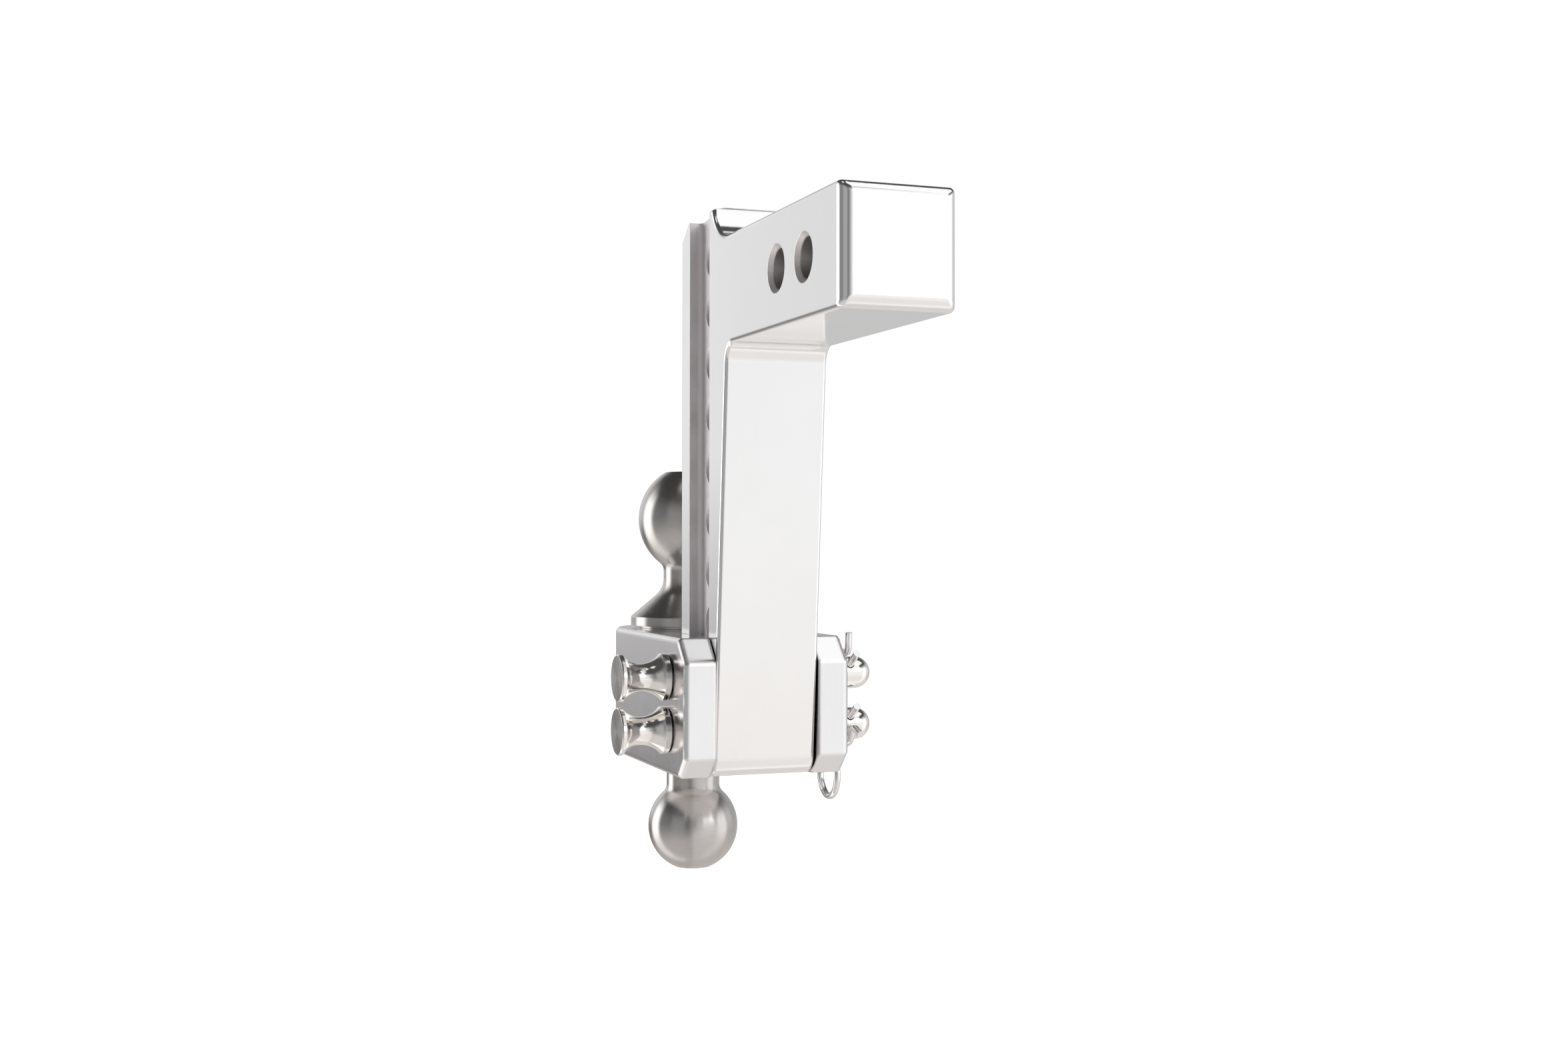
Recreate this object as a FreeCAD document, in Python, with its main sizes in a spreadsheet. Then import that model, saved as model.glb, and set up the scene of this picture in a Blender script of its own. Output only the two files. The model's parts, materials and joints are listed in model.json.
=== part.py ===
import FreeCAD, Part
import math
import os

import Sketcher

# An adjustable drop hitch for a two inch receiver, with a large ball above its ball mount and a
# small one below. X runs across the vehicle, Y from the receiver back to the trailer and Z up.
# The origin is the middle of the shank's free end, and levels are heights above that point.

DIMENSIONS = {
    # drawbar: solid square shank, tapering leg and T-shaped rail, all one piece
    "shank_side": 50.8,
    "edge_round": 2.0,
    "end_round": 5.4,
    "hitch_hole_near": 41.7,
    "hitch_hole_far": 74.7,
    "hitch_hole_bore": 17.5,
    "hitch_hole_mouth": 21.4,
    "leg_front_top": 142.8,
    "throat_draft": 0.4,
    "leg_front_foot": 158.6,
    "leg_foot_depth": 229.2,
    "throat_round": 9.0,
    "foot_round": 9.5,
    "hump_start": 139.5,
    "hump_ridge": 163.6,
    "hump_level": 42.0,
    "ridge_shoulder_level": 40.6,
    "ridge_run": 3.0,
    "ridge_drop": 0.4,
    "hump_round": 24.0,
    "rail_level": 39.8,
    "rail_bevel_run": 10.8,
    "rail_bevel_drop": 8.0,
    "groove_front": 167.4,
    "groove_rear": 198.4,
    "groove_round": 2.2,
    "web_width": 38.1,
    "flange_thickness": 12.8,
    # rail holes, counted downwards
    "rail_hole_pitch": 25.4,
    "rail_hole_count": 10,
    "rail_hole_level": 20.6,
    "rail_hole_bore": 16.3,
    "rail_hole_mouth": 18.3,
    # ball mount block
    "block_width": 82.6,
    "block_front": 154.3,
    "block_height": 66.0,
    "slide_gap": 0.5,
    "top_bevel": 11.4,
    "foot_bevel": 9.6,
    "block_edge": 1.6,
    "pin_bore": 16.1,
    "ball_axis": 272.8,
    "shank_bore": 25.5,
    "neck_recess": 28.7,
    "neck_recess_depth": 5.0,
    # large ball, 2 5/16 inch
    "large_ball": 58.74,
    "large_ball_flat": 25.2,
    "large_ball_height": 57.5,
    "large_neck": 32.0,
    "large_ball_fillet": 5.0,
    "flare_start": 26.1,
    "flare_round": 12.0,
    "flare_slope": 38.0,
    "flange_ball": 66.7,
    "flange_ball_height": 4.6,
    "seat_ring": 60.0,
    "seat_ring_height": 1.2,
    "ball_shank": 25.4,
    "thread": 19.05,
    "thread_reach": 24.0,
    # small ball, 1 7/8 inch
    "small_ball": 47.62,
    "small_ball_flat": 21.8,
    "small_ball_drop": 39.6,
    "small_neck": 28.2,
    "small_ball_fillet": 6.0,
    "thread_bore": 19.1,
    "thread_bore_extra": 3.0,
    # locking pins
    "pin_diameter": 15.88,
    "pin_tip": 63.6,
    "pin_shoulder": 41.7,
    "spigot": 8.0,
    "spigot_bore": 8.04,
    "spigot_reach": 13.0,
    "clip_plane": 51.0,
    "clip_hole": 4.2,
    # hourglass knobs
    "knob_diameter": 22.8,
    "knob_waist": 13.4,
    "knob_reach": 24.6,
    "knob_rim": 2.2,
    "knob_base_rim": 3.2,
    "knob_edge": 0.6,
    # hairpin clips
    "wire": 3.5,
    "clip_loop_round": 11.6,
    "clip_neck_round": 8.0,
    "clip_tail_round": 3.4,
    "clip_hug_start": -48.0,
    "clip_hug_end": 38.0,
    "clip_tail_rise": 40.0,
    "clip_hug_gap": 0.35,
    "clip_leg_reach": 18.5,
    "clip_tail": 7.0,
    "upper_clip_tilt": 56.0,
    "lower_clip_tilt": 58.0,
}

# how far a cutting outline is drawn past the material that it cuts
PAST = 2.0
# edges and points nearer than this to a level count as lying on it
SLACK = 0.01

doc = FreeCAD.newDocument("DropHitch")
sheet = doc.addObject("Spreadsheet::Sheet", "Dims")
for row, (alias, number) in enumerate(DIMENSIONS.items(), start=1):
    sheet.set(f"A{row}", alias)
    sheet.set(f"B{row}", str(number))
    sheet.setAlias(f"B{row}", alias)
doc.recompute()


class Size:
    """A length with its number and the sheet expression that gives it."""

    def __init__(self, number, text):
        self.number = number
        self.text = text

    def __add__(self, other):
        other = as_size(other)
        return Size(self.number + other.number, f"({self.text} + {other.text})")

    def __sub__(self, other):
        other = as_size(other)
        return Size(self.number - other.number, f"({self.text} - {other.text})")

    def __mul__(self, other):
        other = as_size(other)
        return Size(self.number * other.number, f"({self.text} * {other.text})")

    def __truediv__(self, other):
        other = as_size(other)
        return Size(self.number / other.number, f"({self.text} / {other.text})")

    def __neg__(self):
        return Size(-self.number, f"(-1 * {self.text})")

    def __rsub__(self, other):
        return as_size(other) - self


def as_size(value):
    """Wrap a plain number, and leave a Size as it is."""
    return value if isinstance(value, Size) else Size(float(value), repr(float(value)))


def dim(alias):
    """The sheet's cell as a Size."""
    return Size(float(getattr(sheet, alias)), f"Dims.{alias}")


def new_body(label):
    body = doc.addObject("PartDesign::Body", label)
    body.Label = label
    return body


def place(body, x=0, y=0, z=0):
    """Set the body down at a point whose coordinates stay bound to the sheet."""
    for axis, value in zip("xyz", (x, y, z)):
        body.setExpression(f"Placement.Base.{axis}", as_size(value).text)


def new_sketch(body, role, name, x=0, y=0, z=0):
    """A sketch on one of the body's own planes, with its origin moved by x, y and z in that plane."""
    sketch = body.newObject("Sketcher::SketchObject", name)
    plane = next(f for f in body.Origin.OriginFeatures if f.Role == role)
    sketch.AttachmentSupport = [(plane, "")]
    sketch.MapMode = "FlatFace"
    for axis, value in zip("xyz", (x, y, z)):
        sketch.setExpression(f"AttachmentOffset.Base.{axis}", as_size(value).text)
    return sketch


def arc_between(start, end, radius):
    """The arc under half a turn from start to end, turning left for a positive radius."""
    chord = end - start
    half = chord.Length / 2
    height = math.sqrt(max(radius * radius - half * half, 0.0))
    normal = FreeCAD.Vector(-chord.y, chord.x, 0).normalize()
    centre = (start + end) / 2 + normal * math.copysign(height, radius)
    first, last = (start, end) if radius > 0 else (end, start)
    angles = [math.atan2(p.y - centre.y, p.x - centre.x) for p in (first, last)]
    if angles[1] < angles[0]:
        angles[1] += 2 * math.pi
    whole = Part.Circle(centre, FreeCAD.Vector(0, 0, 1), abs(radius))
    return Part.ArcOfCircle(whole, angles[0], angles[1])


def outline(sketch, points):
    """Draw a closed outline. A point is (x, y), or (x, y, radius) where an arc leads to it:
    a positive radius turns left and a negative one turns right."""
    spots = [FreeCAD.Vector(as_size(p[0]).number, as_size(p[1]).number, 0) for p in points]
    count = len(points)
    ends = []
    for i in range(count):
        target = points[(i + 1) % count]
        start, end = spots[i], spots[(i + 1) % count]
        if len(target) == 3:
            geometry = arc_between(start, end, as_size(target[2]).number)
            index = sketch.addGeometry(geometry, False)
            # an arc of a sketch always runs anticlockwise, so a right turn starts at its end point
            ends.append((index, 1, 2) if as_size(target[2]).number > 0 else (index, 2, 1))
        else:
            index = sketch.addGeometry(Part.LineSegment(start, end), False)
            ends.append((index, 1, 2))
    for i in range(count):
        now, after = ends[i], ends[(i + 1) % count]
        sketch.addConstraint(Sketcher.Constraint("Coincident", now[0], now[2], after[0], after[1]))
    for i in range(count):
        edge, at = ends[i][0], ends[i][1]
        for kind, value in (("DistanceX", as_size(points[i][0])), ("DistanceY", as_size(points[i][1]))):
            pin_point(sketch, kind, edge, at, value)
    for i in range(count):
        target = points[(i + 1) % count]
        if len(target) == 3:
            radius = as_size(target[2])
            positive = radius if radius.number > 0 else -radius
            number = sketch.addConstraint(Sketcher.Constraint("Radius", ends[i][0], positive.number))
            sketch.setExpression(f"Constraints[{number}]", positive.text)


def pin_point(sketch, kind, edge, at, value):
    """Hold a point's coordinate at a Size from the sketch's origin."""
    if abs(value.number) < 1e-9:
        axis = -2 if kind == "DistanceX" else -1
        sketch.addConstraint(Sketcher.Constraint("PointOnObject", edge, at, axis))
        return
    number = sketch.addConstraint(Sketcher.Constraint(kind, -1, 1, edge, at, value.number))
    sketch.setExpression(f"Constraints[{number}]", value.text)


def circle(sketch, diameter, x=0, y=0):
    """Draw a full circle about a point held by its coordinates."""
    middle = FreeCAD.Vector(as_size(x).number, as_size(y).number, 0)
    index = sketch.addGeometry(Part.Circle(middle, FreeCAD.Vector(0, 0, 1), diameter.number / 2), False)
    number = sketch.addConstraint(Sketcher.Constraint("Diameter", index, diameter.number))
    sketch.setExpression(f"Constraints[{number}]", diameter.text)
    pin_point(sketch, "DistanceX", index, 3, as_size(x))
    pin_point(sketch, "DistanceY", index, 3, as_size(y))


def pad(body, sketch, name, length, both_ways=False):
    feature = body.newObject("PartDesign::Pad", name)
    feature.Profile = sketch
    if both_ways:
        feature.SideType = "Symmetric"
    feature.setExpression("Length", as_size(length).text)
    doc.recompute()
    return feature


def cut_through(body, sketch, name, both_ways=True):
    """Pocket through everything, and make sure that it takes material away."""
    before = body.Shape.Volume
    feature = body.newObject("PartDesign::Pocket", name)
    feature.Profile = sketch
    feature.Type = "ThroughAll"
    if both_ways:
        feature.SideType = "Symmetric"
    doc.recompute()
    check_removed(body, before, name)
    return feature


def check_removed(body, before, name):
    least = 1.0
    if body.Shape.Volume > before - least:
        raise RuntimeError(f"{name} removes nothing")


def revolve(body, sketch, name, axis="V_Axis"):
    feature = body.newObject("PartDesign::Revolution", name)
    feature.Profile = sketch
    feature.ReferenceAxis = (sketch, [axis])
    feature.Angle = 360
    doc.recompute()
    return feature


def groove(body, sketch, name, axis="H_Axis"):
    before = body.Shape.Volume
    feature = body.newObject("PartDesign::Groove", name)
    feature.Profile = sketch
    feature.ReferenceAxis = (sketch, [axis])
    feature.Angle = 360
    doc.recompute()
    check_removed(body, before, name)
    return feature


def dress(body, kind, name, size, chosen):
    """A Fillet or Chamfer on the edges of the body's tip that the test picks."""
    base = body.Tip
    names = [f"Edge{i}" for i, edge in enumerate(base.Shape.Edges, start=1) if chosen(edge)]
    if not names:
        raise RuntimeError(f"{name} finds no edges")
    feature = body.newObject(f"PartDesign::{kind}", name)
    feature.Base = (base, names)
    feature.setExpression("Radius" if kind == "Fillet" else "Size", size.text)
    doc.recompute()
    return feature


def near(value, size, slack=SLACK):
    return abs(value - as_size(size).number) < slack


def cross_hole_outline(sketch, half_width, bore, mouth):
    """Half section of a hole along X with a 45 degree countersink at each end."""
    sink = (mouth - bore) / 2
    out = half_width + PAST
    outline(
        sketch,
        [
            (-out, 0),
            (out, 0),
            (out, mouth / 2 + PAST),
            (half_width - sink, bore / 2),
            (-half_width + sink, bore / 2),
            (-out, mouth / 2 + PAST),
        ],
    )


def pin_level(hole_from_foot):
    """Height of the rail hole counted upwards from the foot of the rail."""
    return dim("rail_hole_level") - dim("rail_hole_pitch") * (dim("rail_hole_count") - hole_from_foot)


def pin_axis():
    """Where the rail holes and the pins lie along Y, midway between the grooves' walls."""
    return (dim("groove_front") + dim("groove_rear")) / 2


def other_leg(longest, leg):
    """The third side of a right triangle whose longest side and one leg are given."""
    return Size(
        math.sqrt(longest.number**2 - leg.number**2),
        f"sqrt({longest.text}^2 - {leg.text}^2)",
    )


def make_drawbar():
    body = new_body("drawbar")
    half = dim("shank_side") / 2
    side = new_sketch(body, "YZ_Plane", "DrawbarSide")
    throat = dim("throat_round")
    foot = dim("foot_round")
    depth = -dim("leg_foot_depth")
    rear = dim("groove_rear") + dim("flange_thickness")
    outline(
        side,
        [
            (0, -half),
            (dim("leg_front_top") - throat, -half),
            (dim("leg_front_top") + dim("throat_draft"), -half - throat, -throat),
            (dim("leg_front_foot"), depth + foot),
            (dim("leg_front_foot") + foot, depth, foot),
            (rear, depth),
            (rear, dim("rail_level") - dim("rail_bevel_drop")),
            (rear - dim("rail_bevel_run"), dim("rail_level")),
            (dim("hump_ridge") + dim("ridge_run"), dim("hump_level") - dim("ridge_drop")),
            (dim("hump_ridge"), dim("hump_level")),
            (dim("hump_start"), half, -dim("hump_round")),
            (0, half),
        ],
    )
    pad(body, side, "DrawbarBlank", dim("shank_side"), both_ways=True)

    grooves = new_sketch(body, "XY_Plane", "RailGrooves")
    front, back, turn = dim("groove_front"), dim("groove_rear"), dim("groove_round")
    web, past = dim("web_width") / 2, half + PAST
    outline(
        grooves,
        [
            (web, front + turn),
            (web + turn, front, turn),
            (past, front),
            (past, back),
            (web + turn, back),
            (web, back - turn, turn),
        ],
    )
    outline(
        grooves,
        [
            (-web, back - turn),
            (-web - turn, back, turn),
            (-past, back),
            (-past, front),
            (-web - turn, front),
            (-web, front + turn, turn),
        ],
    )
    cut_through(body, grooves, "RailGroovePocket")

    shoulders = new_sketch(body, "XZ_Plane", "RidgeShoulders")
    high, shoulder = dim("hump_level"), dim("ridge_shoulder_level")
    above = high + PAST
    outline(shoulders, [(web, high), (half, shoulder), (past, shoulder), (past, above), (web, above)])
    outline(shoulders, [(-web, high), (-web, above), (-past, above), (-past, shoulder), (-half, shoulder)])
    cut_through(body, shoulders, "RidgeShoulderPocket")

    for name, station in (("HitchHoleNear", "hitch_hole_near"), ("HitchHoleFar", "hitch_hole_far")):
        hole = new_sketch(body, "XY_Plane", name + "Section", 0, dim(station))
        cross_hole_outline(hole, half, dim("hitch_hole_bore"), dim("hitch_hole_mouth"))
        groove(body, hole, name)

    top_hole = dim("rail_hole_level")
    hole = new_sketch(body, "XY_Plane", "RailHoleSection", 0, pin_axis(), top_hole)
    cross_hole_outline(hole, web, dim("rail_hole_bore"), dim("rail_hole_mouth"))
    first = groove(body, hole, "RailHole")
    pattern = body.newObject("PartDesign::LinearPattern", "RailHoleColumn")
    pattern.Originals = [first]
    pattern.Direction = (side, ["V_Axis"])
    pattern.Reversed = True
    pattern.setExpression("Length", "Dims.rail_hole_pitch * (Dims.rail_hole_count - 1)")
    pattern.setExpression("Occurrences", "Dims.rail_hole_count")
    body.Tip = pattern
    doc.recompute()

    def outer_edge(edge):
        """The long outer edges of shank and leg."""
        box = edge.BoundBox
        on_side = near(abs(box.XMin), half) and near(box.XMin, box.XMax)
        at_groove = box.YMin > front.number - PAST
        at_end = near(box.YMax, 0.0)
        mouth = dim("hitch_hole_mouth") / 2
        round_hole = isinstance(edge.Curve, Part.Circle) and near(edge.Curve.Radius, mouth)
        return on_side and not at_groove and not at_end and not round_hole

    def end_edge(edge):
        return near(edge.BoundBox.YMax, 0.0)

    dress(body, "Fillet", "OuterRounds", dim("edge_round"), outer_edge)
    dress(body, "Fillet", "EndRounds", dim("end_round"), end_edge)
    return body


def make_ball_mount():
    body = new_body("ball_mount")
    half = dim("block_width") / 2
    top = -dim("leg_foot_depth") + dim("block_height")
    plan = new_sketch(body, "XY_Plane", "MountPlan", 0, 0, -dim("leg_foot_depth"))
    front, axis, gap = dim("block_front"), dim("ball_axis"), dim("slide_gap")
    inner = dim("shank_side") / 2 + gap
    rib = dim("web_width") / 2 + gap
    rib_front, rib_rear = dim("groove_front") + gap, dim("groove_rear") - gap
    slot_rear = dim("groove_rear") + dim("flange_thickness") + gap
    turn = dim("groove_round")
    outline(
        plan,
        [
            (-half, front),
            (-inner, front),
            (-inner, rib_front),
            (-rib - turn, rib_front),
            (-rib, rib_front + turn),
            (-rib, rib_rear - turn),
            (-rib - turn, rib_rear),
            (-inner, rib_rear),
            (-inner, slot_rear),
            (inner, slot_rear),
            (inner, rib_rear),
            (rib + turn, rib_rear),
            (rib, rib_rear - turn),
            (rib, rib_front + turn),
            (rib + turn, rib_front),
            (inner, rib_front),
            (inner, front),
            (half, front),
            (half, axis),
            (0, axis + half, half),
            (-half, axis, half),
        ],
    )
    pad(body, plan, "MountBlank", dim("block_height"))

    upper_bevel, lower_bevel = dim("top_bevel"), dim("foot_bevel")
    nose = new_sketch(body, "YZ_Plane", "MountNose")
    low = -dim("leg_foot_depth")
    outline(
        nose,
        [
            (front - PAST, top - upper_bevel - PAST),
            (front + upper_bevel + PAST, top + PAST),
            (front - PAST, top + PAST),
        ],
    )
    outline(
        nose,
        [
            (front - PAST, low - PAST),
            (front + lower_bevel + PAST, low - PAST),
            (front - PAST, low + lower_bevel + PAST),
        ],
    )
    cut_through(body, nose, "NoseBevels")

    bores = new_sketch(body, "YZ_Plane", "PinBores")
    for hole in (2, 1):
        circle(bores, dim("pin_bore"), pin_axis(), pin_level(hole))
    cut_through(body, bores, "PinBorePocket")

    shaft = new_sketch(body, "XY_Plane", "ShankBore")
    circle(shaft, dim("shank_bore"), 0, axis)
    cut_through(body, shaft, "ShankBorePocket")

    before = body.Shape.Volume
    recess = new_sketch(body, "XY_Plane", "NeckRecess", 0, 0, low)
    circle(recess, dim("neck_recess"), 0, axis)
    pocket = body.newObject("PartDesign::Pocket", "NeckRecessPocket")
    pocket.Profile = recess
    pocket.Reversed = True
    pocket.setExpression("Length", "Dims.neck_recess_depth")
    doc.recompute()
    check_removed(body, before, "NeckRecessPocket")

    def outer_rim(edge):
        """Edges where a side or the round rear meets the top, the foot or the nose."""
        box = edge.BoundBox
        outside = near(abs(box.XMin), half) and near(box.XMin, box.XMax)
        level = near(box.ZMin, box.ZMax)
        wide = box.XMax - box.XMin > half.number - PAST
        rear = level and wide and box.YMax > axis.number + PAST
        bore = isinstance(edge.Curve, Part.Circle) and edge.Curve.Radius < half.number - PAST
        return (outside or rear) and not bore

    dress(body, "Chamfer", "OuterEdges", dim("block_edge"), outer_rim)
    return body


def make_upper_ball():
    """Ball, neck, flared base and flange with the shank that passes down through the block."""
    body = new_body("upper_ball")
    top = -dim("leg_foot_depth") + dim("block_height")
    place(body, 0, dim("ball_axis"), top)
    centre = dim("large_ball_height")
    ball, neck = dim("large_ball") / 2, dim("large_neck") / 2
    flat = dim("large_ball_flat")
    flat_edge, join = other_leg(ball, flat), other_leg(ball, neck)
    slope = math.radians(dim("flare_slope").number)
    sine = Size(math.sin(slope), "sin(Dims.flare_slope * 1deg)")
    cosine = Size(math.cos(slope), "cos(Dims.flare_slope * 1deg)")
    bend = dim("flare_round")
    bend_out, bend_down = bend - bend * sine, bend * cosine
    flange, seat = dim("flange_ball") / 2, dim("seat_ring_height")
    flange_top = seat + dim("flange_ball_height")
    recess_floor = -dim("block_height") + dim("neck_recess_depth")
    reach = recess_floor - dim("thread_reach")
    profile = new_sketch(body, "XZ_Plane", "UpperBallSection")
    outline(
        profile,
        [
            (0, reach),
            (dim("thread") / 2, reach),
            (dim("thread") / 2, recess_floor),
            (dim("ball_shank") / 2, recess_floor),
            (dim("ball_shank") / 2, 0),
            (dim("seat_ring") / 2, 0),
            (dim("seat_ring") / 2, seat),
            (flange, seat),
            (flange, flange_top),
            (neck + bend_out, dim("flare_start") - bend_down),
            (neck, dim("flare_start"), -bend),
            (neck, centre - join),
            (flat_edge, centre + flat, ball),
            (0, centre + flat),
        ],
    )
    revolve(body, profile, "UpperBallTurned")

    def under_ball(edge):
        return near(edge.BoundBox.ZMin, centre - join) and near(edge.BoundBox.ZMax, centre - join)

    dress(body, "Fillet", "UpperBallFillet", dim("large_ball_fillet"), under_ball)
    return body


def make_lower_ball():
    """Ball and plain neck, screwed onto the threaded end of the upper ball's shank."""
    body = new_body("lower_ball")
    foot = -dim("leg_foot_depth")
    place(body, 0, dim("ball_axis"), foot)
    centre = -dim("small_ball_drop")
    ball, neck = dim("small_ball") / 2, dim("small_neck") / 2
    flat = dim("small_ball_flat")
    flat_edge, join = other_leg(ball, flat), other_leg(ball, neck)
    seat = dim("neck_recess_depth")
    bottom = seat - dim("thread_reach") - dim("thread_bore_extra")
    profile = new_sketch(body, "XZ_Plane", "LowerBallSection")
    outline(
        profile,
        [
            (0, centre - flat),
            (flat_edge, centre - flat),
            (neck, centre + join, ball),
            (neck, seat),
            (dim("thread_bore") / 2, seat),
            (dim("thread_bore") / 2, bottom),
            (0, bottom),
        ],
    )
    revolve(body, profile, "LowerBallTurned")

    def above_ball(edge):
        return near(edge.BoundBox.ZMin, centre + join) and near(edge.BoundBox.ZMax, centre + join)

    dress(body, "Fillet", "LowerBallFillet", dim("small_ball_fillet"), above_ball)
    return body


def make_pin(label, level, tilt):
    """A locking pin along X with a round nose, a cross hole for its clip and a spigot in its knob."""
    body = new_body(label)
    place(body, 0, pin_axis(), level)
    radius = dim("pin_diameter") / 2
    start = -dim("pin_shoulder")
    profile = new_sketch(body, "XY_Plane", "PinSection")
    spigot_end = start - dim("spigot_reach")
    outline(
        profile,
        [
            (spigot_end, 0),
            (dim("pin_tip"), 0),
            (dim("pin_tip") - radius, radius, radius),
            (start, radius),
            (start, dim("spigot") / 2),
            (spigot_end, dim("spigot") / 2),
        ],
    )
    revolve(body, profile, "PinTurned", "H_Axis")
    before = body.Shape.Volume
    hole = new_sketch(body, "XY_Plane", "ClipHole")
    # the hole leans with the clip that hangs in it
    hole.setExpression("AttachmentOffset.Base.x", "Dims.clip_plane")
    hole.AttachmentOffset.Rotation = FreeCAD.Rotation()
    hole.setExpression("AttachmentOffset.Rotation.Axis.x", "1")
    hole.setExpression("AttachmentOffset.Rotation.Axis.z", "0")
    hole.setExpression("AttachmentOffset.Rotation.Angle", tilt.text + " * 1deg")
    circle(hole, dim("clip_hole"))
    pocket = body.newObject("PartDesign::Pocket", "ClipHolePocket")
    pocket.Profile = hole
    pocket.Type = "ThroughAll"
    pocket.SideType = "Symmetric"
    doc.recompute()
    check_removed(body, before, "ClipHolePocket")
    return body


def make_knob(label, level):
    """An hourglass grip, bored for the pin's spigot."""
    body = new_body(label)
    place(body, -dim("pin_shoulder"), pin_axis(), level)
    rim, waist = dim("knob_diameter") / 2, dim("knob_waist") / 2
    reach, edge = dim("knob_reach"), dim("knob_edge")
    base = -dim("knob_base_rim")
    outer = -reach + dim("knob_rim")
    middle = (base + outer) / 2
    half_span = (base.number - outer.number) / 2
    dip = rim.number - waist.number
    sweep = Size(
        (half_span**2 + dip**2) / (2 * dip),
        f"((({base.text} - {outer.text}) / 2)^2 + ({rim.text} - {waist.text})^2)"
        f" / (2 * ({rim.text} - {waist.text}))",
    )
    bore, depth = dim("spigot_bore") / 2, -dim("spigot_reach")
    profile = new_sketch(body, "XY_Plane", "KnobSection")
    outline(
        profile,
        [
            (-reach, 0),
            (depth, 0),
            (depth, bore),
            (0, bore),
            (0, rim - edge),
            (-edge, rim),
            (base, rim),
            (middle, waist, -sweep),
            (outer, rim, -sweep),
            (-reach + edge, rim),
            (-reach, rim - edge),
        ],
    )
    revolve(body, profile, "KnobTurned", "H_Axis")
    return body


def clip_path(side):
    """Centre line of a hairpin clip in its own plane: straight leg, round loop and curved leg.
    The straight leg lies on the local Y axis and the pin's axis passes through the origin.
    The side is 1 for a loop on the +X side of the leg and -1 for one on the other side."""
    loop = dim("clip_loop_round").number
    neck, crest = dim("clip_neck_round").number, dim("clip_tail_round").number
    hug = dim("pin_diameter").number / 2 + dim("wire").number / 2 + dim("clip_hug_gap").number
    lower, upper = math.radians(dim("clip_hug_start").number), math.radians(dim("clip_hug_end").number)
    flare = math.radians(dim("clip_tail_rise").number)

    def at(centre, radius, angle):
        return FreeCAD.Vector(centre.x + radius * math.cos(angle), centre.y + radius * math.sin(angle), 0)

    def mirrored(point):
        return FreeCAD.Vector(side * point.x, point.y, 0)

    origin = FreeCAD.Vector(0, 0, 0)
    low_valley = at(origin, hug + neck, lower)
    drop = math.sqrt((loop + neck) ** 2 - (low_valley.x - loop) ** 2)
    eye = FreeCAD.Vector(loop, low_valley.y - drop, 0)
    high_valley = at(origin, hug + crest, upper)
    toward = math.atan2(low_valley.y - eye.y, low_valley.x - eye.x)
    leg_top = FreeCAD.Vector(0, dim("clip_leg_reach").number, 0)
    leg_foot = FreeCAD.Vector(0, eye.y, 0)

    def turn(centre, radius, start, end):
        angles = (start, (start + end) / 2, end)
        return Part.Arc(*[mirrored(at(centre, radius, angle)) for angle in angles]).toShape()

    low_from, low_to = toward + math.pi, lower + math.pi
    if low_to > low_from:
        low_to -= 2 * math.pi
    high_from = upper + math.pi
    high_to = flare + math.pi / 2
    tail = at(high_valley, crest, high_to)
    tip = tail + FreeCAD.Vector(math.cos(flare), math.sin(flare), 0) * dim("clip_tail").number
    edges = [
        Part.LineSegment(leg_top, leg_foot).toShape(),
        turn(eye, loop, math.pi, 1.5 * math.pi),
        turn(eye, loop, 1.5 * math.pi, 2 * math.pi + toward),
        turn(low_valley, neck, low_from, low_to),
        turn(origin, hug, lower, upper),
        turn(high_valley, crest, high_from, high_to),
        Part.LineSegment(mirrored(tail), mirrored(tip)).toShape(),
    ]
    return Part.Wire(edges)


def make_clip(label, level, tilt, side):
    """A hairpin clip bent from round wire, standing in the plane of its pin's cross hole."""
    path = clip_path(side)
    start = path.Edges[0].Vertexes[0].Point
    ring = Part.Circle(start, FreeCAD.Vector(0, -1, 0), dim("wire").number / 2)
    wire = path.makePipeShell([Part.Wire(ring.toShape())], True, True)
    clip = doc.addObject("Part::Feature", label)
    clip.Label = label
    clip.Shape = wire
    # the drawing plane's X becomes Y and its Y becomes Z, then the clip leans about the pin
    upright = FreeCAD.Rotation(FreeCAD.Vector(0, 1, 0), FreeCAD.Vector(0, 0, 1), FreeCAD.Vector(1, 0, 0))
    lean = FreeCAD.Rotation(FreeCAD.Vector(1, 0, 0), tilt.number)
    where = FreeCAD.Vector(dim("clip_plane").number, pin_axis().number, level.number)
    clip.Placement = FreeCAD.Placement(where, lean.multiply(upright))
    return clip


subparts = [make_drawbar(), make_ball_mount(), make_upper_ball(), make_lower_ball()]
for name, hole, clip_side in (("upper", 2, 1), ("lower", 1, -1)):
    level = pin_level(hole)
    tilt = dim(f"{name}_clip_tilt")
    subparts.append(make_pin(f"{name}_pin", level, tilt))
    subparts.append(make_knob(f"{name}_knob", level))
    subparts.append(make_clip(f"{name}_clip", level, tilt, clip_side))
doc.recompute()

for item in doc.Objects:
    if "Invalid" in item.State or "Error" in item.State:
        raise RuntimeError(f"{item.Label} failed: {item.State}")
for item in subparts:
    if item.Shape.isNull() or not item.Shape.isValid():
        raise RuntimeError(f"{item.Label} has no valid shape")

os.makedirs("parts", exist_ok=True)
for item in subparts:
    item.Shape.exportStep(f"parts/{item.Label}.step")
    solids = len(item.Shape.Solids)
    print(f"{item.Label}: {item.Shape.Volume:.0f} mm3, {solids} solid, {item.Shape.BoundBox}")
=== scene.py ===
import json
import math

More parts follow.
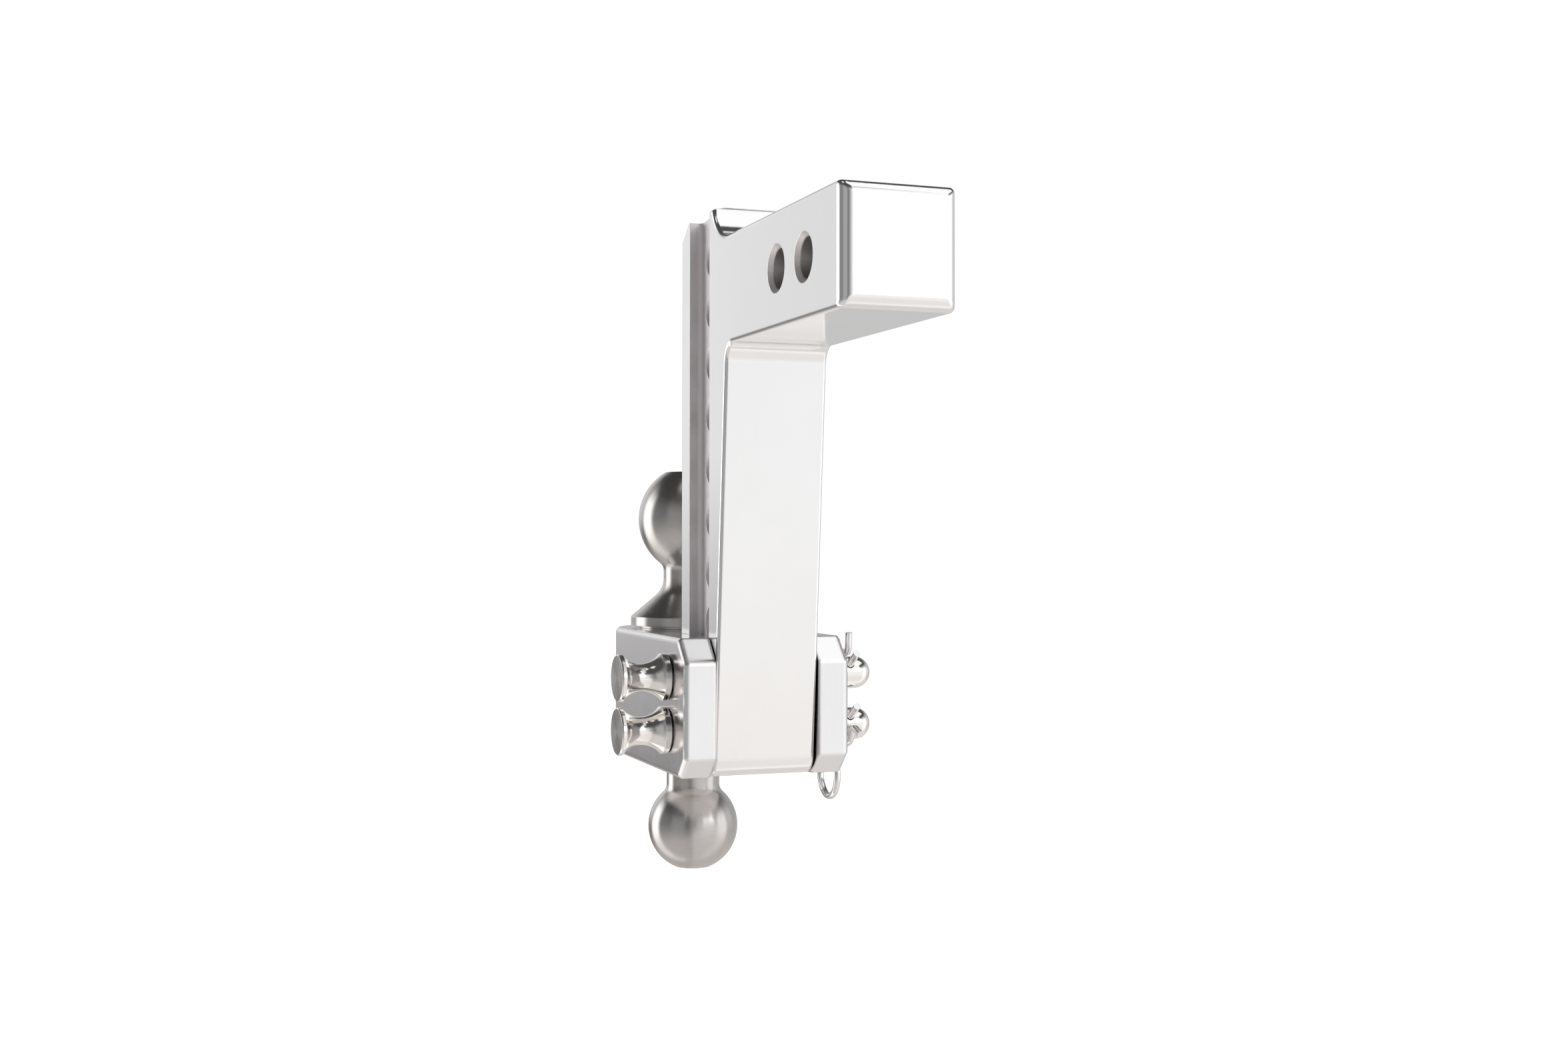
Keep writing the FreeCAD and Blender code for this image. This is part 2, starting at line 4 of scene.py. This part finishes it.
import bmesh
import bpy
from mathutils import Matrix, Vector


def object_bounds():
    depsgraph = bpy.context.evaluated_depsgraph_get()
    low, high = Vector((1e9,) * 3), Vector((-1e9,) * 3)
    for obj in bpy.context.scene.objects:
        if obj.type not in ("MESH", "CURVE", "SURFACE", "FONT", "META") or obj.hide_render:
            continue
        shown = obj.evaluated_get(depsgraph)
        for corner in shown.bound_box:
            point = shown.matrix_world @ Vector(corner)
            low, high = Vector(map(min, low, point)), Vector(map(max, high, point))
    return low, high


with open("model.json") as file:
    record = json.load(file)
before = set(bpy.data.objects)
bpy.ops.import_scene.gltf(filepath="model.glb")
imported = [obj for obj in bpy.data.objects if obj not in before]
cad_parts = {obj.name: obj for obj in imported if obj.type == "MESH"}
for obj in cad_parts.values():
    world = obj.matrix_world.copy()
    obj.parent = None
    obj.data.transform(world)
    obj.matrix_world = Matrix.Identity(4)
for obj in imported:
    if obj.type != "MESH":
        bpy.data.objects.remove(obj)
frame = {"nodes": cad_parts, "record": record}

# The camera, in the part's own frame. It looks along +Y, turned towards +X and slightly upwards.
# Places are in metres, angles in degrees, and the lens and sensor in millimetres.
CAMERA_PLACE = (-0.2894, -0.6496, -0.1164)
CAMERA_TURN = 20.31
CAMERA_RISE = 1.0
CAMERA_ROLL = -0.07
CAMERA_LENS = 41.33
CAMERA_SENSOR = 36.0
CAMERA_SHIFT = (-0.0003, -0.0092)
CAMERA_REACH = (0.01, 50.0)

# How bright the studio is in each direction from the object, above the horizon and below it. An
# angle is counted from the camera's side of the object, and grows to the camera's right.
WALLS = (
    (-180, 0.45),
    (-156, 0.78),
    (-145, 0.90),
    (-139, 0.76),
    (-131, 0.76),
    (-120, 2.00),
    (-104, 2.00),
    (-90, 0.26),
    (-62, 0.24),
    (-46, 0.40),
    (-26, 0.40),
    (-10, 0.20),
    (6, 0.40),
    (20, 0.80),
    (34, 0.90),
    (52, 0.96),
    (64, 0.90),
    (76, 1.35),
    (94, 1.35),
    (104, 0.80),
    (120, 0.76),
    (132, 0.55),
    (180, 0.45),
)
GROUND = (
    (-180, 0.60),
    (-164, 0.36),
    (-150, 0.21),
    (-136, 0.21),
    (-120, 1.90),
    (-104, 1.90),
    (-90, 0.38),
    (-40, 0.42),
    (-8, 0.34),
    (12, 0.86),
    (34, 0.98),
    (60, 0.98),
    (78, 1.35),
    (96, 1.35),
    (106, 0.66),
    (140, 0.58),
    (180, 0.60),
)
BRIGHTEST = 2.00

# Where one zone of the studio gives way to the next: the upward part of a direction, which is 1
# straight up, 0 level and -1 straight down.
HORIZON = (-0.15, 0.04)
CEILING = (0.30, 0.60)
PLINTH = (-0.50, -0.22)
WARMTH = (-0.26, -0.13)

CEILING_LIGHT = 0.07
PLINTH_LIGHT = 0.52
PLINTH_ECHO = 0.36
BACKGROUND_LIGHT = 1.02
PLAIN_LIGHT = (1.0, 1.0, 1.0)
WARM_LIGHT = (1.0, 0.965, 0.940)

# Each softbox: its name, its angle and its rise above the horizon in degrees, its distance, width
# and height in metres, and its brightness.
SOFTBOXES = (
    ("overhead_softbox", 82, 65.5, 1.5, 1.05, 1.05, 1.02),
    ("small_softbox", -54, 69, 1.5, 0.40, 0.40, 0.90),
    ("front_softbox", 47, 17, 1.7, 1.0, 0.62, 1.15),
    ("upper_softbox", 46, 36, 1.7, 0.50, 0.70, 0.95),
)

FLOOR_RADIUS = 9.0
FLOOR_SEGMENTS = 96
FLOOR_GLOW = 0.90

# Where the drawbar's finish and the painted shade in its bores change, in metres: a change begins
# at the first number and is complete at the second. Front and back are places along Y, heights are
# counted up and down from the receiver pin holes' axes, and the bore's end from the middle of the
# shank's width.
GROOVE_FRONT = (0.1665, 0.1680)
GROOVE_BACK = (0.1985, 0.1995)
HOLE_FRONT = (0.0300, 0.0310)
HOLE_BACK = (0.1290, 0.1300)
HOLE_HEIGHT = (0.0190, 0.0200)
BORE_END = (0.0230, 0.0240)
BORE_SHADE_HEIGHT = (0.0015, 0.0078)

# How squarely a surface has to face sideways, from 0 to 1, to have the finish of a side: the
# drawbar's and the mount's sides, and the pins' flat ends. On the mount's sides and the pins' flat
# ends that finish includes painted shade.
DRAWBAR_SIDE = (0.80, 0.90)
MOUNT_SIDE = (0.80, 0.98)
PIN_END = (0.96, 0.995)


def add_node(tree, kind, **settings):
    """A node with its properties set; a name that isn't a property is set on the input it names."""
    node = tree.nodes.new(kind)
    for key, value in settings.items():
        if hasattr(node, key):
            setattr(node, key, value)
        else:
            node.inputs[key.replace("_", " ")].default_value = value
    return node


def feed(tree, value, target):
    """Set an input to a number, or link it to an output."""
    if isinstance(value, (int, float)):
        target.default_value = value
    else:
        tree.links.new(value, target)


def calculate(tree, operation, first, second=None):
    """The result of one sum on numbers or outputs."""
    node = add_node(tree, "ShaderNodeMath", operation=operation)
    feed(tree, first, node.inputs[0])
    if second is not None:
        feed(tree, second, node.inputs[1])
    return node.outputs[0]


def total(tree, first, second):
    return calculate(tree, "ADD", first, second)


def remainder(tree, share):
    """What a share leaves of one."""
    return calculate(tree, "SUBTRACT", 1.0, share)


def size_of(tree, value):
    return calculate(tree, "ABSOLUTE", value)


def product(tree, *factors):
    result = factors[0]
    for factor in factors[1:]:
        result = calculate(tree, "MULTIPLY", result, factor)
    return result


def spread(tree, source, low, high, start=0.3, end=0.7):
    """Map the range from start to end onto the range from low to high."""
    node = add_node(tree, "ShaderNodeMapRange",
                    From_Min=start, From_Max=end, To_Min=low, To_Max=high)
    tree.links.new(source, node.inputs["Value"])
    return node.outputs["Result"]


def rising(tree, source, start, end):
    """A mask of nothing up to the start and one from the end on."""
    return spread(tree, source, 0.0, 1.0, start, end)


def falling(tree, source, start, end):
    """A mask of one up to the start and nothing from the end on."""
    return spread(tree, source, 1.0, 0.0, start, end)


def where_masked(tree, mask, outside, inside):
    """A number that is outside where the mask is nothing, and inside where it is one."""
    return spread(tree, mask, outside, inside, 0.0, 1.0)


def blend_colours(tree, factor, first, second, way="MIX"):
    """The first colour where the factor is nothing, blended with the second where it is one."""
    node = add_node(tree, "ShaderNodeMix", data_type="RGBA", blend_type=way)
    feed(tree, factor, node.inputs["Factor"])
    ports = [port for port in node.inputs if port.type == "RGBA"]
    for port, colour in zip(ports, (first, second)):
        if isinstance(colour, tuple):
            port.default_value = (*colour, 1)
        else:
            tree.links.new(colour, port)
    return next(port for port in node.outputs if port.type == "RGBA")


def separate(tree, vector):
    node = add_node(tree, "ShaderNodeSeparateXYZ")
    tree.links.new(vector, node.inputs["Vector"])
    return node.outputs


def object_place(tree):
    """A point's place in the piece's own frame."""
    return add_node(tree, "ShaderNodeTexCoord").outputs["Object"]


def facing_sideways(tree):
    """How squarely a surface faces sideways, along X in the piece's own frame, from 0 to 1."""
    facing = separate(tree, add_node(tree, "ShaderNodeTexCoord").outputs["Normal"])
    return size_of(tree, facing["X"])


def grain(tree, size, stretch=(1, 1, 1), detail=3.0, roughness=0.55):
    """Noise fixed to the piece: size is the width of its grain in metres, and stretch how many
    times longer the grain is along each axis."""
    scale = add_node(tree, "ShaderNodeMapping", Scale=[1.0 / (size * s) for s in stretch])
    noise = add_node(tree, "ShaderNodeTexNoise", Scale=1.0, Detail=detail, Roughness=roughness)
    tree.links.new(object_place(tree), scale.inputs["Vector"])
    tree.links.new(scale.outputs["Vector"], noise.inputs["Vector"])
    return noise.outputs["Fac"]


def edge_mask(tree, radius):
    """A mask of one along the edges, falling to nothing at the radius from them."""
    rounded = add_node(tree, "ShaderNodeBevel", samples=4, Radius=radius)
    real = add_node(tree, "ShaderNodeNewGeometry").outputs["Normal"]
    alike = add_node(tree, "ShaderNodeVectorMath", operation="DOT_PRODUCT")
    tree.links.new(rounded.outputs["Normal"], alike.inputs[0])
    tree.links.new(real, alike.inputs[1])
    return falling(tree, alike.outputs["Value"], 0.90, 0.995)


class Metal:
    """Bare metal with clouds between two tints, pale and deep, and edges rubbed to a third, worn, a
    tint that is partly wear and partly painted shading along the edges.

    Its tool lines are as wide and as deep as lines and depth say, and drawn out along the axes of
    stretch. Polish is its roughness, and softness the radius over which its edges are shaded as if
    they were round. Lengths are in metres.
    """

    def __init__(self, name, pale, deep, worn_and_edge_shade, polish, lines, stretch, depth, softness):
        self.made = bpy.data.materials.new(name)
        self.made.use_nodes = True
        self.tree = self.made.node_tree
        self.shader = self.tree.nodes["Principled BSDF"]
        self.shader.inputs["Metallic"].default_value = 1.0
        tree = self.tree
        clouds = grain(tree, 0.030, detail=4.0)
        streaks = grain(tree, lines, stretch, detail=2.0)
        scuffs = grain(tree, 0.004, detail=5.0, roughness=0.7)
        tint = product(tree, spread(tree, clouds, 0.2, 1.0), spread(tree, streaks, 0.3, 1.0))
        bare = blend_colours(tree, tint, pale, deep)
        # the edges take the third tint partly as wear and partly as painted shading that outlines
        # them
        rubbed_and_edge_shade = product(tree, edge_mask(tree, 0.0007), spread(tree, scuffs, 0.35, 1.0))
        self.colour = blend_colours(tree, rubbed_and_edge_shade, bare, worn_and_edge_shade)
        shine = product(tree, spread(tree, scuffs, 0.85, 1.2), spread(tree, clouds, 0.9, 1.15))
        self.roughness = product(tree, shine, polish)
        softened = add_node(tree, "ShaderNodeBevel", samples=6, Radius=softness)
        bump = add_node(tree, "ShaderNodeBump", Strength=1.0, Distance=depth)
        tree.links.new(softened.outputs["Normal"], bump.inputs["Normal"])
        tree.links.new(streaks, bump.inputs["Height"])
        tree.links.new(bump.outputs["Normal"], self.shader.inputs["Normal"])

    def shade(self, mask, tint, rougher=1.0):
        """Where the mask is one, multiply the colour by the tint and the roughness by rougher."""
        tree = self.tree
        self.colour = blend_colours(tree, mask, self.colour, tint, "MULTIPLY")
        self.roughness = product(tree, self.roughness, where_masked(tree, mask, 1.0, rougher))

    def turned(self, axis, anisotropy):
        """Metal turned on a lathe: its tool lines run round the axis."""
        tangent = add_node(self.tree, "ShaderNodeTangent", direction_type="RADIAL", axis=axis)
        self.tree.links.new(tangent.outputs["Tangent"], self.shader.inputs["Tangent"])
        self.shader.inputs["Anisotropic"].default_value = anisotropy
        self.shader.inputs["Anisotropic Rotation"].default_value = 0.25

    def finish(self):
        """Link the colour and the roughness, and give the material."""
        self.tree.links.new(self.colour, self.shader.inputs["Base Color"])
        self.tree.links.new(self.roughness, self.shader.inputs["Roughness"])
        return self.made


def drawbar_aluminium():
    metal = Metal(
        "drawbar_aluminium",
        pale=(0.92, 0.92, 0.92), deep=(0.89, 0.89, 0.89), worn_and_edge_shade=(0.70, 0.69, 0.68), polish=0.12,
        lines=0.0003, stretch=(1, 1, 60), depth=1.5e-6, softness=0.0006,
    )
    tree = metal.tree
    place = separate(tree, object_place(tree))
    along, across, level = place["Y"], size_of(tree, place["X"]), size_of(tree, place["Z"])
    # the grooves that the ball mount slides in are milled, and less polished
    groove = product(tree, rising(tree, along, *GROOVE_FRONT), falling(tree, along, *GROOVE_BACK))
    metal.shade(groove, (0.92, 0.89, 0.90), 4.0)
    # the receiver pin holes are as drilled, duller and less metallic, and their colour is tinted
    # darker and a little brown
    hole = product(
        tree,
        falling(tree, facing_sideways(tree), *DRAWBAR_SIDE),
        falling(tree, level, *HOLE_HEIGHT),
        rising(tree, along, *HOLE_FRONT),
        falling(tree, along, *HOLE_BACK),
    )
    metal.shade(hole, (0.74, 0.71, 0.70), 3.2)
    tree.links.new(where_masked(tree, hole, 1.0, 0.65), metal.shader.inputs["Metallic"])
    # painted shade: between their countersinks, the holes are darkened away from the level of their
    # axes
    bore_painted_shade = product(
        tree,
        product(tree, hole, falling(tree, across, *BORE_END)),
        rising(tree, level, *BORE_SHADE_HEIGHT),
    )
    metal.shade(bore_painted_shade, (0.42, 0.40, 0.39))
    return metal.finish()


def mount_aluminium():
    metal = Metal(
        "mount_aluminium",
        pale=(0.91, 0.90, 0.905), deep=(0.87, 0.86, 0.865), worn_and_edge_shade=(0.62, 0.61, 0.60), polish=0.11,
        lines=0.0003, stretch=(1, 1, 60), depth=1.5e-6, softness=0.0022,
    )
    # its sides are as cut from the bar and less polished than its front, and their colour is
    # darkened as painted shade
    cut_side_and_painted_shade = rising(metal.tree, facing_sideways(metal.tree), *MOUNT_SIDE)
    metal.shade(cut_side_and_painted_shade, (0.85, 0.83, 0.835), 1.7)
    return metal.finish()


def ball_steel():
    metal = Metal(
        "ball_steel",
        pale=(0.62, 0.60, 0.585), deep=(0.52, 0.50, 0.485), worn_and_edge_shade=(0.80, 0.78, 0.75), polish=0.22,
        lines=0.00014, stretch=(40, 40, 1), depth=0.8e-6, softness=0.0006,
    )
    metal.turned("Z", 0.85)
    return metal.finish()


def pin_steel():
    metal = Metal(
        "pin_steel",
        pale=(0.95, 0.93, 0.90), deep=(0.88, 0.86, 0.83), worn_and_edge_shade=(0.92, 0.90, 0.87), polish=0.13,
        lines=0.0002, stretch=(1, 60, 60), depth=1.5e-6, softness=0.0004,
    )
    # the flat ends are faced with finer rings that spread the light further, and their colour is
    # darkened as painted shade
    end = rising(metal.tree, facing_sideways(metal.tree), *PIN_END)
    metal.shade(end, (0.42, 0.41, 0.42), 1.8)
    metal.turned("X", 0.2)
    rings = where_masked(metal.tree, end, 0.2, 0.9)
    metal.tree.links.new(rings, metal.shader.inputs["Anisotropic"])
    return metal.finish()


def clip_wire():
    metal = Metal(
        "clip_wire",
        pale=(0.86, 0.86, 0.87), deep=(0.78, 0.78, 0.79), worn_and_edge_shade=(0.90, 0.90, 0.90), polish=0.10,
        lines=0.0004, stretch=(3, 3, 3), depth=1.5e-6, softness=0.0002,
    )
    return metal.finish()


def dress_nodes():
    """Give every CAD node the finish of its slot in the record."""
    makers = (drawbar_aluminium, mount_aluminium, ball_steel, pin_steel, clip_wire)
    finishes = {maker.__name__: maker() for maker in makers}
    for part in frame["record"]["subparts"]:
        node = frame["nodes"][part["node"]]
        node.data.materials.clear()
        node.data.materials.append(finishes[part["material_slot"]])


def make_floor(level):
    """A round pale floor at this level, glowing like a light table."""
    made = bpy.data.materials.new("studio_floor")
    made.use_nodes = True
    tree = made.node_tree
    shader = tree.nodes["Principled BSDF"]
    pale = blend_colours(tree, grain(tree, 0.3), (0.93, 0.93, 0.93), (0.97, 0.97, 0.97))
    tree.links.new(pale, shader.inputs["Base Color"])
    shader.inputs["Roughness"].default_value = 0.9
    shader.inputs["Specular IOR Level"].default_value = 0.1
    shader.inputs["Emission Color"].default_value = (1, 1, 1, 1)
    shader.inputs["Emission Strength"].default_value = FLOOR_GLOW
    mesh = bpy.data.meshes.new("floor")
    disc = bmesh.new()
    bmesh.ops.create_circle(disc, cap_ends=True, segments=FLOOR_SEGMENTS, radius=FLOOR_RADIUS)
    disc.to_mesh(mesh)
    disc.free()
    mesh.materials.append(made)
    floor = bpy.data.objects.new("floor", mesh)
    bpy.context.scene.collection.objects.link(floor)
    floor.location.z = level
    # the metal mirrors the lower half of the studio instead of the floor
    floor.visible_glossy = False


def brightness_round(tree, share, table):
    """How bright a ring of the studio is, at this share of the whole turn."""
    ramp = add_node(tree, "ShaderNodeValToRGB")
    tree.links.new(share, ramp.inputs["Fac"])
    ramp.color_ramp.interpolation = "EASE"
    stops = ramp.color_ramp.elements
    while len(stops) > 1:
        stops.remove(stops[-1])
    for number, (angle, light) in enumerate(table):
        where = (angle + 180) / 360
        stop = stops[0] if number == 0 else stops.new(where)
        stop.position = where
        grey = light / BRIGHTEST
        stop.color = (grey, grey, grey, 1)
    return product(tree, ramp.outputs["Color"], BRIGHTEST)


def make_world():
    """A studio that differs with direction: bright strips and darker gaps under a dark ceiling."""
    world = bpy.data.worlds.new("studio")
    bpy.context.scene.world = world
    world.use_nodes = True
    tree = world.node_tree
    sky = tree.nodes["Background"]
    axes = separate(tree, add_node(tree, "ShaderNodeTexCoord").outputs["Generated"])
    # the angle is zero towards the camera and grows to its right
    turned = calculate(tree, "ARCTAN2", axes["X"], product(tree, axes["Y"], -1.0))
    share = calculate(tree, "DIVIDE", turned, 2 * math.pi)
    share = calculate(tree, "FRACT", total(tree, share, 0.5 + CAMERA_TURN / 360))
    height = axes["Z"]
    lower = falling(tree, height, *HORIZON)
    ceiling = rising(tree, height, *CEILING)
    plinth = falling(tree, height, *PLINTH)
    rings = total(
        tree,
        product(tree, brightness_round(tree, share, GROUND), lower),
        product(tree, brightness_round(tree, share, WALLS), remainder(tree, lower)),
    )
    studio = product(tree, rings, remainder(tree, total(tree, ceiling, plinth)))
    studio = total(tree, studio, product(tree, ceiling, CEILING_LIGHT))
    # the plinth is pale, and also mirrors a share of the ring above it
    top = total(tree, product(tree, rings, PLINTH_ECHO), PLINTH_LIGHT)
    studio = total(tree, studio, product(tree, plinth, top))
    # what shows past the object is a plain pale backdrop
    behind = add_node(tree, "ShaderNodeLightPath").outputs["Is Camera Ray"]
    around = remainder(tree, behind)
    plain = product(tree, behind, BACKGROUND_LIGHT)
    strength = total(tree, plain, product(tree, studio, around))
    tree.links.new(strength, sky.inputs["Strength"])
    # light that comes from below is a little warmer
    warm = product(tree, falling(tree, height, *WARMTH), around)
    tint = blend_colours(tree, warm, PLAIN_LIGHT, WARM_LIGHT)
    tree.links.new(tint, sky.inputs["Color"])


def make_softbox(target, name, angle, rise, distance, width, tall, brightness):
    """A soft rectangular light aimed at the target, its angle counted as the studio's are."""
    data = bpy.data.lights.new(name, "AREA")
    data.shape = "RECTANGLE"
    data.size, data.size_y = width, tall
    data.energy = brightness * math.pi * width * tall
    light = bpy.data.objects.new(name, data)
    bpy.context.scene.collection.objects.link(light)
    turn, lift = math.radians(angle - CAMERA_TURN), math.radians(rise)
    level = math.cos(lift)
    away = Vector((math.sin(turn) * level, -math.cos(turn) * level, math.sin(lift)))
    light.location = target + away * distance
    light.rotation_euler = (-away).to_track_quat("-Z", "Y").to_euler()


def make_camera():
    data = bpy.data.cameras.new("camera")
    data.sensor_width = CAMERA_SENSOR
    data.lens = CAMERA_LENS
    data.shift_x, data.shift_y = CAMERA_SHIFT
    data.clip_start, data.clip_end = CAMERA_REACH
    camera = bpy.data.objects.new("camera", data)
    bpy.context.scene.collection.objects.link(camera)
    camera.location = CAMERA_PLACE
    turns = (90 + CAMERA_RISE, CAMERA_ROLL, -CAMERA_TURN)
    camera.rotation_euler = [math.radians(a) for a in turns]
    bpy.context.scene.camera = camera


cad_low, cad_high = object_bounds()
make_camera()
dress_nodes()
make_floor(level=cad_low.z)
make_world()
for softbox in SOFTBOXES:
    make_softbox((cad_low + cad_high) / 2, *softbox)
bpy.context.scene.view_settings.view_transform = "Standard"
